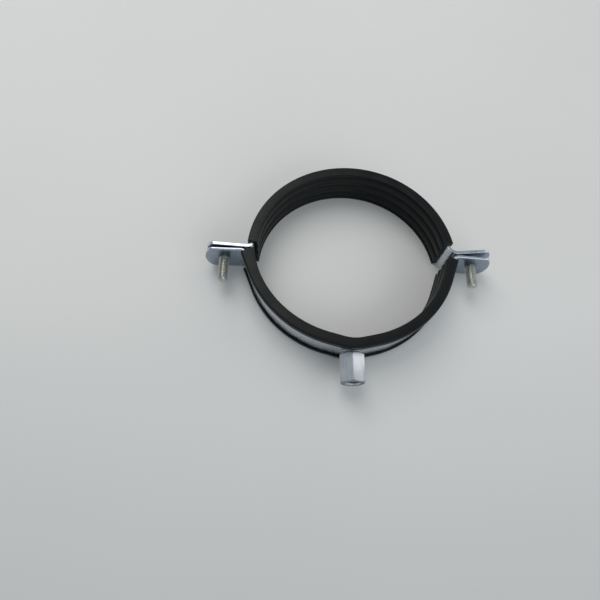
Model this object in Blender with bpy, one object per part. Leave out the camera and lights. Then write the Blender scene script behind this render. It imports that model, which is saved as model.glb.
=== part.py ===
# A rubber-lined split pipe clamp with a welded hanger nut, lying flat as it does on a bench.
# X runs from ear to ear, +Y points away from the hanger nut, and Z is the pipe's axis.
# The design is laid out round the ring's centre; clamp_frame then puts it over the origin.
# Sizes are in metres.

import math
from dataclasses import dataclass, replace

import bmesh
import bpy
from mathutils import Matrix, Vector

MM = 0.001
RIGHT_ANGLE = math.radians(90)

# Steel strip
STRIP_WIDTH = 20 * MM
STRIP_THICKNESS = 2 * MM
STRIP_EDGE = 0.25 * MM         # the sheared edge's small chamfer
EAR_PLANE = 2.6 * MM           # the two halves meet this far past the ring's centre
EAR_GAP = 0.3 * MM
EAR_LENGTH = 25 * MM           # from the strip's outside to the ear's tip
EAR_END_DEPTH = 5 * MM         # of the ear's half-oval end
UPPER_SHIFT = 0.6 * MM         # the halves are screwed together this far out of line

# Rubber lining, which wraps round both edges of the strip
PIPE_RADIUS = 54.1 * MM        # to the crests of the ribs, upper half
RUBBER_GAP = 0.2 * MM          # rubber to steel
RIM_RUBBER = 1.8 * MM          # past each edge of the strip
LINING_WEB = 2.2 * MM          # rib crest to the back of the rubber
RIM_GROOVE = 1.5 * MM          # from the rim to the middle of the first groove
RIBS = 3
GROOVE_WIDTH = 1.9 * MM
GROOVE_DEPTH = 1 * MM
RIB_CROWN = 0.4 * MM          # how far a rib's shoulders fall below its crest
RIM_ROUND = 0.9 * MM
LIP_THICKNESS = 1.2 * MM
TOP_LIP_OVERLAP = 2.2 * MM     # how far the upper lip covers the strip's outside
BOTTOM_LIP_OVERLAP = 1.1 * MM
LINING_SETBACK = 0.3 * MM      # from the lining's end to the start of the strip's bend

# Lower half: a kink at the hanger nut, then on each side a flat, an arc and a straight up to the ear
KINK_RADIUS = 21 * MM          # inside the rubber
LOWER_RISE = 1.4 * MM          # the kink brings the strip this much nearer the middle than a circle would

# Ear screws, M6
THREAD_RADIUS = 2.95 * MM
THREAD_DEPTH = 0.55 * MM
THREAD_PITCH = 1 * MM
SCREW_LENGTH = 20 * MM         # under the head
SCREW_INSET = 10.7 * MM        # from the ear's tip to the screw
TIP_CHAMFER = 0.8 * MM
HEAD_RADIUS = 5 * MM
HEAD_HEIGHT = 2.8 * MM
HEAD_FLANK = 0.7 * MM          # the head's straight side, below its dome
HEAD_GAP = 0.3 * MM
RECESS_WIDTH = 1.2 * MM
RECESS_SPAN = 5 * MM
RECESS_DEPTH = 1.5 * MM
SCREW_CLEARANCE = 0.35 * MM    # round the screw in the upper ears
TAP_CLEARANCE = 0.15 * MM      # round the screw in the lower ears' threaded holes

# Hanger nut, M8, whose foot stands on the strip between the lining's lips
NUT_ACROSS_FLATS = 13 * MM
NUT_LENGTH = 15.5 * MM
NUT_OFFSET = -0.3 * MM         # welded this far off the middle of the kink
NUT_TURN = math.radians(6)     # and this far from having a corner straight up
NUT_BORE_RADIUS = 3.4 * MM
NUT_COUNTERSINK = 0.9 * MM
NUT_CHAMFER = 0.8 * MM         # along the nut, at its corners
NUT_FACE_INSET = 0.2 * MM      # of its round end faces, inside the flats
NUT_LIP_GAP = 0.4 * MM         # between the nut's hexagon and the rubber lips
FOOT_WALL = 1.6 * MM
WELD_SPREAD = 0.2 * MM         # past the foot
WELD_GAP = 0.3 * MM
WELD_THICKNESS = 0.5 * MM

# How finely round shapes are divided
ARC_STEP = math.radians(5)
BEND_STEP = math.radians(12)
EAR_STEPS = 7
HOLE_SIDES = 32
THREAD_SIDES = 12
THREAD_STEPS = 4               # along each turn

# The two sides were pressed a little differently. Bends are on the strip's centre line, a lean is
# an ear's angle away from square, tip up, and a slant is how far a lining's web outruns its lips.
# On the lower half, the kink's turn is half the whole, the spread is how much flatter than the
# pipe the arc was pressed, and the arc's end is the heading of the straight that follows it.
SIDES = {
    "left": {
        "sign": -1,
        "upper_bend": 2.2 * MM,
        "lower_bend": 2.2 * MM,
        "upper_lean": math.radians(3.3),
        "lower_lean": math.radians(0.2),
        "kink_turn": math.radians(15.1),
        "flat": 7.8 * MM,
        "lower_spread": 3.8 * MM,
        "arc_end": math.radians(68.7),
        "upper_slant": 0.6 * MM,
        "lower_slant": 0.3 * MM,
    },
    "right": {
        "sign": 1,
        "upper_bend": 5.2 * MM,
        "lower_bend": 4.2 * MM,
        "upper_lean": math.radians(5.8),
        "lower_lean": math.radians(-3.6),
        "kink_turn": math.radians(12.7),
        "flat": 7 * MM,
        "lower_spread": 1.6 * MM,
        "arc_end": math.radians(69),
        "upper_slant": 0.6 * MM,
        "lower_slant": 0.3 * MM,
    },
}

# What follows from the sizes above
NUT_FACE_RADIUS = NUT_ACROSS_FLATS / 2 - NUT_FACE_INSET
FOOT_RADIUS = NUT_BORE_RADIUS + FOOT_WALL
WELD_RADIUS = FOOT_RADIUS + WELD_SPREAD
LINING_WIDTH = STRIP_WIDTH + 2 * (RUBBER_GAP + RIM_RUBBER)
MIDDLE = LINING_WIDTH / 2
TO_STRIP_MIDDLE = LINING_WEB + RUBBER_GAP + STRIP_THICKNESS / 2
UPPER_RADIUS = PIPE_RADIUS + TO_STRIP_MIDDLE
LOWER_BOTTOM = EAR_PLANE - (UPPER_RADIUS - LOWER_RISE)  # the strip's middle, at the kink
LIP_INNER = STRIP_THICKNESS / 2 + RUBBER_GAP
LIP_OUTER = LIP_INNER + LIP_THICKNESS
RIB_CREST = -TO_STRIP_MIDDLE
EAR_TIP = UPPER_RADIUS + STRIP_THICKNESS / 2 + EAR_LENGTH
SCREW_X = EAR_TIP - SCREW_INSET
EAR_OFFSET = (EAR_GAP + STRIP_THICKNESS) / 2
CUTTER_REACH = 3 * STRIP_THICKNESS


@dataclass
class Station:
    """A place on a strip's centre line: where it runs to, and which way is out of the ring."""

    point: Vector
    ahead: Vector
    outward: Vector
    half_width: float = STRIP_WIDTH / 2
    slant: float = 0.0

    def mirrored(self):
        point, ahead, outward = (Vector((-v.x, v.y)) for v in (self.point, self.ahead, self.outward))
        return replace(self, point=point, ahead=ahead, outward=outward)


def walk(start, moves, out):
    """Stations from the middle of a half to its right end. A move is a length and a turn, positive
    to the left; out is 1 where the ring's outside is on the left, and -1 where it is on the right."""
    point, heading = Vector(start), 0.0

    def station():
        ahead = Vector((math.cos(heading), math.sin(heading)))
        return Station(point.copy(), ahead, Vector((-ahead.y, ahead.x)) * out)

    stations = [station()]
    for length, turn in moves:
        tight = abs(turn) > 0 and length / abs(turn) < KINK_RADIUS / 2
        steps = max(1, math.ceil(abs(turn) / (BEND_STEP if tight else ARC_STEP) - 1e-6))
        half = turn / steps / 2
        chord = length / steps * (math.sin(half) / half if half else 1.0)
        for _ in range(steps):
            point = point + chord * Vector((math.cos(heading + half), math.sin(heading + half)))
            heading += 2 * half
            stations.append(station())
    return stations


def with_ear(stations, tip_x):
    """Adds the straight ear, whose half-oval end stops at tip_x."""
    last = stations[-1]
    length = (tip_x - last.point.x) / last.ahead.x
    first_angle = RIGHT_ANGLE / EAR_STEPS
    for step in range(EAR_STEPS, 0, -1):
        angle = first_angle * step
        from_tip = EAR_END_DEPTH * (math.cos(first_angle) - math.cos(angle))
        stations.append(
            replace(
                last,
                point=last.point + last.ahead * (length - from_tip),
                half_width=STRIP_WIDTH / 2 * math.sin(angle),
            )
        )
    return stations


def upper_side(side, with_bend):
    """The upper half from its top to one end, as if on the right."""
    bend = side["upper_bend"]
    rise = EAR_PLANE + EAR_OFFSET + bend
    end_angle = math.asin(rise / (UPPER_RADIUS + bend))
    sweep = RIGHT_ANGLE - end_angle
    if not with_bend:
        sweep -= LINING_SETBACK / UPPER_RADIUS
        stations = walk((0, UPPER_RADIUS), [(UPPER_RADIUS * sweep, -sweep)], 1)
        stations[-1].slant = side["upper_slant"]
        return stations
    turn = sweep + side["upper_lean"]
    moves = [(UPPER_RADIUS * sweep, -sweep), (bend * turn, turn)]
    return with_ear(walk((0, UPPER_RADIUS), moves, 1), EAR_TIP)


def lower_side(side, with_bend):
    """The lower half from the hanger nut to one end, as if on the right."""
    bend, turn, end = side["lower_bend"], side["kink_turn"], side["arc_end"]
    kink = KINK_RADIUS + TO_STRIP_MIDDLE
    radius = UPPER_RADIUS + side["lower_spread"]
    rise = kink * (1 - math.cos(turn)) + side["flat"] * math.sin(turn)
    rise += radius * (math.cos(turn) - math.cos(end))
    bend_start = EAR_PLANE - EAR_OFFSET - bend * (1 - math.cos(end))
    straight = (bend_start - LOWER_BOTTOM - rise) / math.sin(end)
    moves = [(kink * turn, turn), (side["flat"], 0), (radius * (end - turn), end - turn)]
    if not with_bend:
        moves.append((straight - LINING_SETBACK, 0))
        stations = walk((0, LOWER_BOTTOM), moves, -1)
        stations[-1].slant = side["lower_slant"]
        return stations
    ear_turn = end - side["lower_lean"]
    moves += [(straight, 0), (bend * ear_turn, -ear_turn)]
    return with_ear(walk((0, LOWER_BOTTOM), moves, -1), EAR_TIP)


def both_sides(side_of, with_bend):
    """Stations from the left end to the right end."""
    left = [station.mirrored() for station in side_of(SIDES["left"], with_bend)]
    return left[:0:-1] + side_of(SIDES["right"], with_bend)


def strip_section(station, grow=0.0):
    """The strip's outline at a station, as (outward, height), with its sharp edges taken off."""
    thick = STRIP_THICKNESS / 2 + grow
    wide = station.half_width + grow
    edge = min(STRIP_EDGE, wide / 2)
    corners = [(thick - edge, wide), (thick, wide - edge)]
    corners += [(out, -up) for out, up in reversed(corners)]
    corners += [(-out, up) for out, up in reversed(corners)]
    return [(out, MIDDLE + up) for out, up in corners]


def strip_with_gap(station):
    return strip_section(station, WELD_GAP)


def rib_line():
    """The ribbed inner face from the bottom rim to the top one, as (outward, height)."""
    pitch = (LINING_WIDTH - 2 * RIM_GROOVE) / RIBS
    line = []
    for groove in range(RIBS + 1):
        height = RIM_GROOVE + groove * pitch
        before = RIB_CREST + (RIB_CROWN if groove else 0)
        after = RIB_CREST + (RIB_CROWN if groove < RIBS else 0)
        line.append((before, height - GROOVE_WIDTH / 2))
        line.append((RIB_CREST + GROOVE_DEPTH, height - GROOVE_WIDTH / 5))
        line.append((RIB_CREST + GROOVE_DEPTH, height + GROOVE_WIDTH / 5))
        line.append((after, height + GROOVE_WIDTH / 2))
        if groove < RIBS:
            line.append((RIB_CREST, height + pitch * 0.35))
            line.append((RIB_CREST, height + pitch * 0.65))
    return line


def lining_section(_station):
    """The rubber's outline: ribs inside, round both edges of the strip, and a lip on the outside."""
    foot = LINING_WIDTH / 2 - STRIP_WIDTH / 2 - RUBBER_GAP

    def rim(overlap):
        reach = foot + RUBBER_GAP + overlap
        return [
            (LIP_INNER, foot),
            (LIP_INNER, reach),
            (LIP_OUTER - LIP_THICKNESS * 0.4, reach),
            (LIP_OUTER, reach - LIP_THICKNESS * 0.4),
            (LIP_OUTER, RIM_ROUND),
            (LIP_OUTER - RIM_ROUND * 0.3, RIM_ROUND * 0.3),
            (LIP_OUTER - RIM_ROUND, 0),
            (RIB_CREST + RIM_GROOVE / 4, 0),
            (RIB_CREST, RIM_GROOVE / 4),
        ]

    lower = rim(BOTTOM_LIP_OVERLAP)
    upper = [(out, LINING_WIDTH - height) for out, height in reversed(rim(TOP_LIP_OVERLAP))]
    back = -LIP_INNER
    channel = [(back, LINING_WIDTH - foot), (back, foot)]
    return lower + rib_line() + upper + channel


def new_object(name, mesh, frame):
    """Turns a bmesh into an object under the clamp's frame."""
    bmesh.ops.recalc_face_normals(mesh, faces=mesh.faces)
    data = bpy.data.meshes.new(name)
    mesh.to_mesh(data)
    mesh.free()
    obj = bpy.data.objects.new(name, data)
    bpy.context.collection.objects.link(obj)
    obj.parent = frame
    return obj


def ring_mesh(rings):
    """A closed bmesh through rings of points, with a flat face at each end."""
    mesh = bmesh.new()
    loops = [[mesh.verts.new(point) for point in ring] for ring in rings]
    for near, far in zip(loops, loops[1:]):
        for i in range(len(near)):
            j = (i + 1) % len(near)
            mesh.faces.new((near[i], near[j], far[j], far[i]))
    mesh.faces.new(loops[0])
    mesh.faces.new(loops[-1])
    return mesh


def sweep(name, stations, section_of, frame, shift=0.0):
    """A solid that carries a section along the stations."""
    rings = []
    for station in stations:
        ring = []
        for out, height in section_of(station):
            # A slanted end runs on at the web and stops short at the lips.
            inward = (LIP_INNER - out) / (LIP_INNER - RIB_CREST)
            along = station.slant * min(1.0, max(0.0, inward))
            place = station.point + station.outward * out + station.ahead * along
            ring.append((place.x + shift, place.y, height))
        rings.append(ring)
    return new_object(name, ring_mesh(rings), frame)


def turned(name, profile, centre, sides, frame, start=0.0):
    """A solid turned about a line along Y. The profile is (along +Y, radius) pairs."""
    rings = []
    angles = [start + 2 * math.pi * i / sides for i in range(sides)]
    for along, radius in profile:
        ring = [(radius * math.cos(a), along, radius * math.sin(a)) for a in angles]
        rings.append([Vector(centre) + Vector(point) for point in ring])
    return new_object(name, ring_mesh(rings), frame)


def combine(target, helper, operation):
    """Cuts a helper from the target or joins it on, and leaves the helper out of the model."""
    helper.hide_render = True
    helper.display_type = "WIRE"
    modifier = target.modifiers.new(helper.name, "BOOLEAN")
    modifier.operation = operation
    modifier.solver = "EXACT"
    modifier.object = helper


def finish(obj, material, smooth_below=30):
    obj.data.materials.append(material)
    obj.data.shade_smooth()
    obj.data.set_sharp_from_angle(angle=math.radians(smooth_below))


def ear_height(side_of, side, shift=0.0):
    """The Y of an ear's centre line where its screw goes through."""
    tip = side_of(side, True)[-1]
    x = SCREW_X - side["sign"] * shift
    return tip.point.y + (x - tip.point.x) * tip.ahead.y / tip.ahead.x


def upper_band(frame, material):
    band = sweep("upper_band", both_sides(upper_side, True), strip_section, frame, UPPER_SHIFT)
    radius = THREAD_RADIUS + SCREW_CLEARANCE
    profile = [(-CUTTER_REACH, radius), (CUTTER_REACH, radius)]
    for name, side in SIDES.items():
        centre = (side["sign"] * SCREW_X, ear_height(upper_side, side, UPPER_SHIFT), MIDDLE)
        combine(band, turned(name + "_upper_hole", profile, centre, HOLE_SIDES, frame), "DIFFERENCE")
    finish(band, material)


def lower_band(frame, material):
    band = sweep("lower_band", both_sides(lower_side, True), strip_section, frame)
    radius = THREAD_RADIUS + TAP_CLEARANCE
    profile = [(-CUTTER_REACH, radius), (CUTTER_REACH, radius)]
    for name, side in SIDES.items():
        centre = (side["sign"] * SCREW_X, ear_height(lower_side, side), MIDDLE)
        combine(band, turned(name + "_tapped_hole", profile, centre, HOLE_SIDES, frame), "DIFFERENCE")
    finish(band, material)


def lining(name, side_of, shift, frame, material):
    obj = sweep(name, both_sides(side_of, False), lining_section, frame, shift)
    finish(obj, material)


def thread_radius(angle, along):
    """The surface of a 60 degree right-hand thread, with its crests and roots cut flat."""
    phase = (along / THREAD_PITCH + angle / (2 * math.pi)) % 1.0
    flank = min(1.0, max(0.0, (abs(phase - 0.5) * 2 - 0.15) / 0.65))
    return THREAD_RADIUS - THREAD_DEPTH * flank


def ear_screw(name, side, frame, material):
    """A domed-head screw whose threaded end points away from its head, along -Y."""
    x = side["sign"] * SCREW_X
    lean = math.tan(side["upper_lean"])
    seat = ear_height(upper_side, side, UPPER_SHIFT)
    seat += STRIP_THICKNESS / 2 / math.cos(side["upper_lean"]) + HEAD_RADIUS * abs(lean) + HEAD_GAP
    tip = seat - SCREW_LENGTH
    angles = [2 * math.pi * i / THREAD_SIDES for i in range(THREAD_SIDES)]

    def ring(y, radius_at):
        return [(x + radius_at(a) * math.cos(a), y, MIDDLE + radius_at(a) * math.sin(a)) for a in angles]

    def thread_at(along):
        start = THREAD_RADIUS - TIP_CHAMFER + along
        return lambda angle: min(start, thread_radius(angle, along))

    turns = SCREW_LENGTH / THREAD_PITCH
    rings = []
    for step in range(int(turns * THREAD_STEPS)):
        along = step * THREAD_PITCH / THREAD_STEPS
        rings.append(ring(tip + along, thread_at(along)))
    root = THREAD_RADIUS - THREAD_DEPTH / 2
    rings.append(ring(seat, lambda angle: root))
    dome = [(0.0, HEAD_RADIUS), (HEAD_FLANK, HEAD_RADIUS)]
    for degrees in (20, 40, 60, 78):
        angle = math.radians(degrees)
        height = HEAD_FLANK + (HEAD_HEIGHT - HEAD_FLANK) * math.sin(angle)
        dome.append((height, HEAD_RADIUS * math.cos(angle)))
    rings += [ring(seat + height, lambda angle, radius=radius: radius) for height, radius in dome]
    screw = new_object(name, ring_mesh(rings), frame)
    top = seat + HEAD_HEIGHT
    for number, turn in enumerate((0, RIGHT_ANGLE)):
        mesh = bmesh.new()
        bmesh.ops.create_cube(mesh, size=1.0)
        size = Matrix.Diagonal((RECESS_SPAN, 2 * RECESS_DEPTH, RECESS_WIDTH, 1))
        place = Matrix.Translation((x, top, MIDDLE)) @ Matrix.Rotation(turn, 4, "Y")
        bmesh.ops.transform(mesh, matrix=place @ size, verts=mesh.verts)
        combine(screw, new_object(f"{name}_recess_{number}", mesh, frame), "DIFFERENCE")
    finish(screw, material)


def nut_places():
    """The Y of the weld's face, the hexagon's start and the nut's open end."""
    weld_end = LOWER_BOTTOM - STRIP_THICKNESS / 2 - WELD_GAP - WELD_THICKNESS
    hexagon = LOWER_BOTTOM - LIP_OUTER - NUT_LIP_GAP
    return weld_end, hexagon, hexagon - NUT_LENGTH


def hanger_nut(frame, material):
    """A long hexagon nut, one corner nearly up, with a round foot between the lining's lips."""
    weld_end, hexagon, end = nut_places()
    centre = (NUT_OFFSET, 0, MIDDLE)
    corner = NUT_ACROSS_FLATS / math.sqrt(3)
    hexagon_profile = [(end, corner), (hexagon, corner)]
    nut = turned("hanger_nut", hexagon_profile, centre, 6, frame, RIGHT_ANGLE / 3 + NUT_TURN)
    # A cone at each end takes off the hexagon's corners.
    trim = [
        (end, NUT_FACE_RADIUS),
        (end + NUT_CHAMFER, corner),
        (hexagon - NUT_CHAMFER, corner),
        (hexagon, NUT_FACE_RADIUS),
    ]
    foot = [(hexagon - NUT_CHAMFER, FOOT_RADIUS), (weld_end - WELD_GAP, FOOT_RADIUS)]
    bore = [
        (end - NUT_COUNTERSINK, NUT_BORE_RADIUS + 2 * NUT_COUNTERSINK),
        (end + NUT_COUNTERSINK, NUT_BORE_RADIUS),
        (weld_end + CUTTER_REACH, NUT_BORE_RADIUS),
    ]
    combine(nut, turned("nut_trim", trim, centre, 2 * HOLE_SIDES, frame), "INTERSECT")
    combine(nut, turned("nut_foot", foot, centre, HOLE_SIDES, frame), "UNION")
    combine(nut, turned("nut_bore", bore, centre, HOLE_SIDES, frame), "DIFFERENCE")
    finish(nut, material)


def nut_weld(frame, material):
    """The upset metal between the nut's foot and the strip, shaped to the strip's curve."""
    weld_end = nut_places()[0]
    centre = (NUT_OFFSET, 0, MIDDLE)
    disc = [(weld_end, WELD_RADIUS), (LOWER_BOTTOM, WELD_RADIUS)]
    bore = [(weld_end - CUTTER_REACH, NUT_BORE_RADIUS), (LOWER_BOTTOM + CUTTER_REACH, NUT_BORE_RADIUS)]
    weld = turned("nut_weld", disc, centre, HOLE_SIDES, frame)
    strip = sweep("weld_strip", both_sides(lower_side, True), strip_with_gap, frame)
    combine(weld, strip, "DIFFERENCE")
    combine(weld, turned("weld_bore", bore, centre, HOLE_SIDES, frame), "DIFFERENCE")
    finish(weld, material)


def make_material(name, colour, metallic, roughness):
    material = bpy.data.materials.new(name)
    material.use_nodes = True
    shader = material.node_tree.nodes["Principled BSDF"]
    shader.inputs["Base Color"].default_value = (*colour, 1)
    shader.inputs["Metallic"].default_value = metallic
    shader.inputs["Roughness"].default_value = roughness
    return material


def clear_scene():
    for obj in list(bpy.data.objects):
        bpy.data.objects.remove(obj, do_unlink=True)


def clamp_frame():
    """The empty that everything hangs from, placed so that the clamp lies centred on the origin."""
    frame = bpy.data.objects.new("clamp_frame", None)
    bpy.context.collection.objects.link(frame)
    back = UPPER_RADIUS + LIP_OUTER
    front = nut_places()[2]
    frame.location = (-UPPER_SHIFT / 2, -(back + front) / 2, 0)
    return frame


def main():
    clear_scene()
    frame = clamp_frame()
    upper_band(frame, make_material("upper_zinc", (0.66, 0.69, 0.73), 1.0, 0.28))
    lower_band(frame, make_material("lower_zinc", (0.62, 0.66, 0.71), 1.0, 0.28))
    upper_rubber = make_material("upper_rubber", (0.02, 0.02, 0.02), 0.0, 0.6)
    lower_rubber = make_material("lower_rubber", (0.025, 0.025, 0.025), 0.0, 0.6)
    lining("upper_lining", upper_side, UPPER_SHIFT, frame, upper_rubber)
    lining("lower_lining", lower_side, 0.0, frame, lower_rubber)
    hanger_nut(frame, make_material("nut_zinc", (0.72, 0.74, 0.77), 1.0, 0.3))
    nut_weld(frame, make_material("weld_grey", (0.35, 0.36, 0.38), 0.8, 0.5))
    for name, side in SIDES.items():
        plating = make_material(name + "_screw_zinc", (0.66, 0.66, 0.58), 1.0, 0.35)
        ear_screw(name + "_screw", side, frame, plating)


main()
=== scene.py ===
import math

import bmesh
import bpy
from mathutils import Matrix, Vector, noise


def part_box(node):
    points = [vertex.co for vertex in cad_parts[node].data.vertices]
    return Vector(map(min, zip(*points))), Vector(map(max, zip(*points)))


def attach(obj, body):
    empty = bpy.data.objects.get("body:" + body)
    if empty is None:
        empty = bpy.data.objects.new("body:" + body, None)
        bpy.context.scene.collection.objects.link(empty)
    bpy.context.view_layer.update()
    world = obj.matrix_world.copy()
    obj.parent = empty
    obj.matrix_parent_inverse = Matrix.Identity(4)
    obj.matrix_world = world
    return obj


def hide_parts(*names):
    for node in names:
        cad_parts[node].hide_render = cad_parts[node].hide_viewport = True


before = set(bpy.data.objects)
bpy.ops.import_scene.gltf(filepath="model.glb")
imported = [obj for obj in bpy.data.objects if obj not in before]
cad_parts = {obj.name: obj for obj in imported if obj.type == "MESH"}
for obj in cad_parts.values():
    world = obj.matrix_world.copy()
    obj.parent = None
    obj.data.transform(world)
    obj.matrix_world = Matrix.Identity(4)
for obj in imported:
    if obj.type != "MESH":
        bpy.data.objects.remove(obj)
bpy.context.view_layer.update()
print("frame loaded:", ", ".join(sorted(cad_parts)))

rightAngle = math.radians(90)
fullTurn = math.radians(360)
roundingSlack = 1e-6
usualSharpness = 35  # degrees from which an edge is drawn sharp

# What the steel and the rubber share, in metres, the same as the frame's
ring = {
    "pipeRadius": 0.0541,        # to the crests of the ribs, upper half
    "rubberWidth": 0.024,        # rim to rim
    "web": 0.0022,               # rib crest to the back of the rubber
    "rubberGap": 0.0002,
    "lipThickness": 0.0012,
    "stripWidth": 0.020,
    "stripThickness": 0.002,
    "earPlane": 0.0026,          # where the halves meet, past the ring's centre
    "earGap": 0.0003,
    "earLength": 0.025,
    "upperShift": 0.0006,
    "kinkRadius": 0.021,
    "lowerRise": 0.0014,
    "splayLength": 0.016,        # over which a lining's end swells inward
    "arcStep": math.radians(1.5),
    "bendStep": math.radians(6),
    "straightStep": 0.002,
}

# How each side was pressed: its ears' bends and leans, and the lower half's kink, flat and arc;
# then how the rubber's ends slant and swell
sides = {
    "left": {
        "sign": -1, "upperBend": 0.0022, "lowerBend": 0.0022,
        "upperLean": math.radians(3.3), "lowerLean": math.radians(0.2),
        "kinkTurn": math.radians(15.1), "flat": 0.0078, "lowerSpread": 0.0038,
        "arcEnd": math.radians(68.7), "upperSlant": 0.0006, "lowerSlant": 0.0003, "splay": 0.0024,
    },
    "right": {
        "sign": 1, "upperBend": 0.0052, "lowerBend": 0.0042,
        "upperLean": math.radians(5.8), "lowerLean": math.radians(-3.6),
        "kinkTurn": math.radians(12.7), "flat": 0.007, "lowerSpread": 0.0016,
        "arcEnd": math.radians(69), "upperSlant": 0.0006, "lowerSlant": 0.0003, "splay": 0.0002,
    },
}

middle = ring["rubberWidth"] / 2
halfThick = ring["stripThickness"] / 2
toStripMiddle = ring["web"] + ring["rubberGap"] + halfThick
upperRadius = ring["pipeRadius"] + toStripMiddle
lipInner = halfThick + ring["rubberGap"]
lipOuter = lipInner + ring["lipThickness"]
earTip = upperRadius + halfThick + ring["earLength"]
earOffset = ring["earGap"] / 2 + halfThick
lowerBottom = ring["earPlane"] - (upperRadius - ring["lowerRise"])

# The shapes are laid out round the ring's centre, and this carries them to the frame's place.
leftLow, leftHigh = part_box("left_screw")
rightLow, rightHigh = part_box("right_screw")
screwX = (rightLow.x + rightHigh.x - leftLow.x - leftHigh.x) / 4
layoutX = (rightLow.x + rightHigh.x + leftLow.x + leftHigh.x) / 4
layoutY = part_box("upper_lining")[1].y - upperRadius - lipOuter


# Lines that the pieces follow

def station(point, heading, out):
    ahead = Vector((math.cos(heading), math.sin(heading)))
    outward = Vector((-ahead.y, ahead.x)) * out
    return {"point": point.copy(), "ahead": ahead, "outward": outward,
            "half": ring["stripWidth"] / 2, "slant": 0.0, "splay": 0.0}


# Stations along straights and arcs; a move is a length and a turn, positive to the left
def walk(start, moves, out):
    point, heading = Vector(start), 0.0
    found = [station(point, heading, out)]
    for length, turn in moves:
        tight = abs(turn) > 0 and length / abs(turn) < ring["kinkRadius"] / 2  # an ear's bend
        stepTurn = ring["bendStep"] if tight else ring["arcStep"]
        steps = max(1, math.ceil(abs(turn) / stepTurn - roundingSlack))
        if not turn:
            steps = math.ceil(length / ring["straightStep"])
        half = turn / steps / 2
        chord = length / steps * (math.sin(half) / half if half else 1.0)
        for _ in range(steps):
            point = point + chord * Vector((math.cos(heading + half), math.sin(heading + half)))
            heading += 2 * half
            found.append(station(point, heading, out))
    return found


def upperSide(side, ear, setback=0.0):
    bend = side["upperBend"]
    endAngle = math.asin((ring["earPlane"] + earOffset + bend) / (upperRadius + bend))
    arc = rightAngle - endAngle - setback / upperRadius
    moves = [(upperRadius * arc, -arc)]
    if not ear:
        found = walk((0, upperRadius), moves, 1)
        found[-1]["slant"] = side["upperSlant"]
        return found
    turn = arc + side["upperLean"]
    return withEar(walk((0, upperRadius), moves + [(bend * turn, turn)], 1), ear)


def lowerSide(side, ear, setback=0.0):
    bend, turn, end = side["lowerBend"], side["kinkTurn"], side["arcEnd"]
    kink = ring["kinkRadius"] + toStripMiddle
    radius = upperRadius + side["lowerSpread"]
    rise = kink * (1 - math.cos(turn)) + side["flat"] * math.sin(turn)
    rise += radius * (math.cos(turn) - math.cos(end))
    bendStart = ring["earPlane"] - earOffset - bend * (1 - math.cos(end))
    straight = (bendStart - lowerBottom - rise) / math.sin(end)
    moves = [(kink * turn, turn), (side["flat"], 0), (radius * (end - turn), end - turn)]
    if not ear:
        found = walk((0, lowerBottom), moves + [(straight - setback, 0)], -1)
        found[-1]["slant"] = side["lowerSlant"]
        for spot in found:
            near = 1 - (spot["point"] - found[-1]["point"]).length / ring["splayLength"]
            spot["splay"] = side["splay"] * max(0.0, near) ** 2
        return found
    earTurn = end - side["lowerLean"]
    moves += [(straight, 0), (bend * earTurn, -earTurn)]
    return withEar(walk((0, lowerBottom), moves, -1), ear)


# Adds the straight ear and its half-oval end, with its stations closer toward the tip
def withEar(found, ear):
    last = found[-1]
    length = (earTip - last["point"].x) / last["ahead"].x
    firstAngle = rightAngle / ear["endSteps"]
    straight = length - ear["endDepth"]
    for count in range(1, ear["straightSteps"]):
        point = last["point"] + last["ahead"] * straight * count / ear["straightSteps"]
        found.append({**last, "point": point})
    for count in range(ear["endSteps"], 0, -1):
        angle = firstAngle * count
        fromTip = ear["endDepth"] * (math.cos(firstAngle) - math.cos(angle))
        point = last["point"] + last["ahead"] * (length - fromTip)
        found.append({**last, "point": point, "half": ring["stripWidth"] / 2 * math.sin(angle)})
    return found


def mirrored(spot):
    flipped = {key: Vector((-spot[key].x, spot[key].y)) for key in ("point", "ahead", "outward")}
    return {**spot, **flipped}


# From the left end round to the right, with the middle station once
def bothSides(sideOf, ear=None, setback=0.0):
    left = [mirrored(spot) for spot in sideOf(sides["left"], ear, setback)]
    return left[:0:-1] + sideOf(sides["right"], ear, setback)


# The Y of an ear's centre line where its screw goes through
def earHeight(sideOf, side, ear, shift=0.0):
    tip = sideOf(side, ear)[-1]
    x = screwX - side["sign"] * shift
    return tip["point"].y + (x - tip["point"].x) * tip["ahead"].y / tip["ahead"].x


# Mesh making

mostOfHalf = 0.49  # the share of an edge that a rounding may take, so that two of them never meet


# A closed outline through (x, y, radius) corners, each one an arc
def roundedOutline(corners, steps):
    outline = []
    for index, (x, y, radius) in enumerate(corners):
        corner = Vector((x, y))
        before = Vector(corners[index - 1][:2]) - corner
        after = Vector(corners[(index + 1) % len(corners)][:2]) - corner
        if radius <= 0:
            outline.append(tuple(corner))
            continue
        halfAngle = before.angle(after) / 2
        room = min(before.length * mostOfHalf, after.length * mostOfHalf)
        run = min(radius / math.tan(halfAngle), room)
        before, after = before.normalized(), after.normalized()
        centre = corner + (before + after).normalized() * run / math.cos(halfAngle)
        first, last = corner + before * run - centre, corner + after * run - centre
        for count in range(steps + 1):
            part = count / steps
            spoke = (first * (1 - part) + last * part).normalized() * first.length
            outline.append(tuple(centre + spoke))
    return outline


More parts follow.
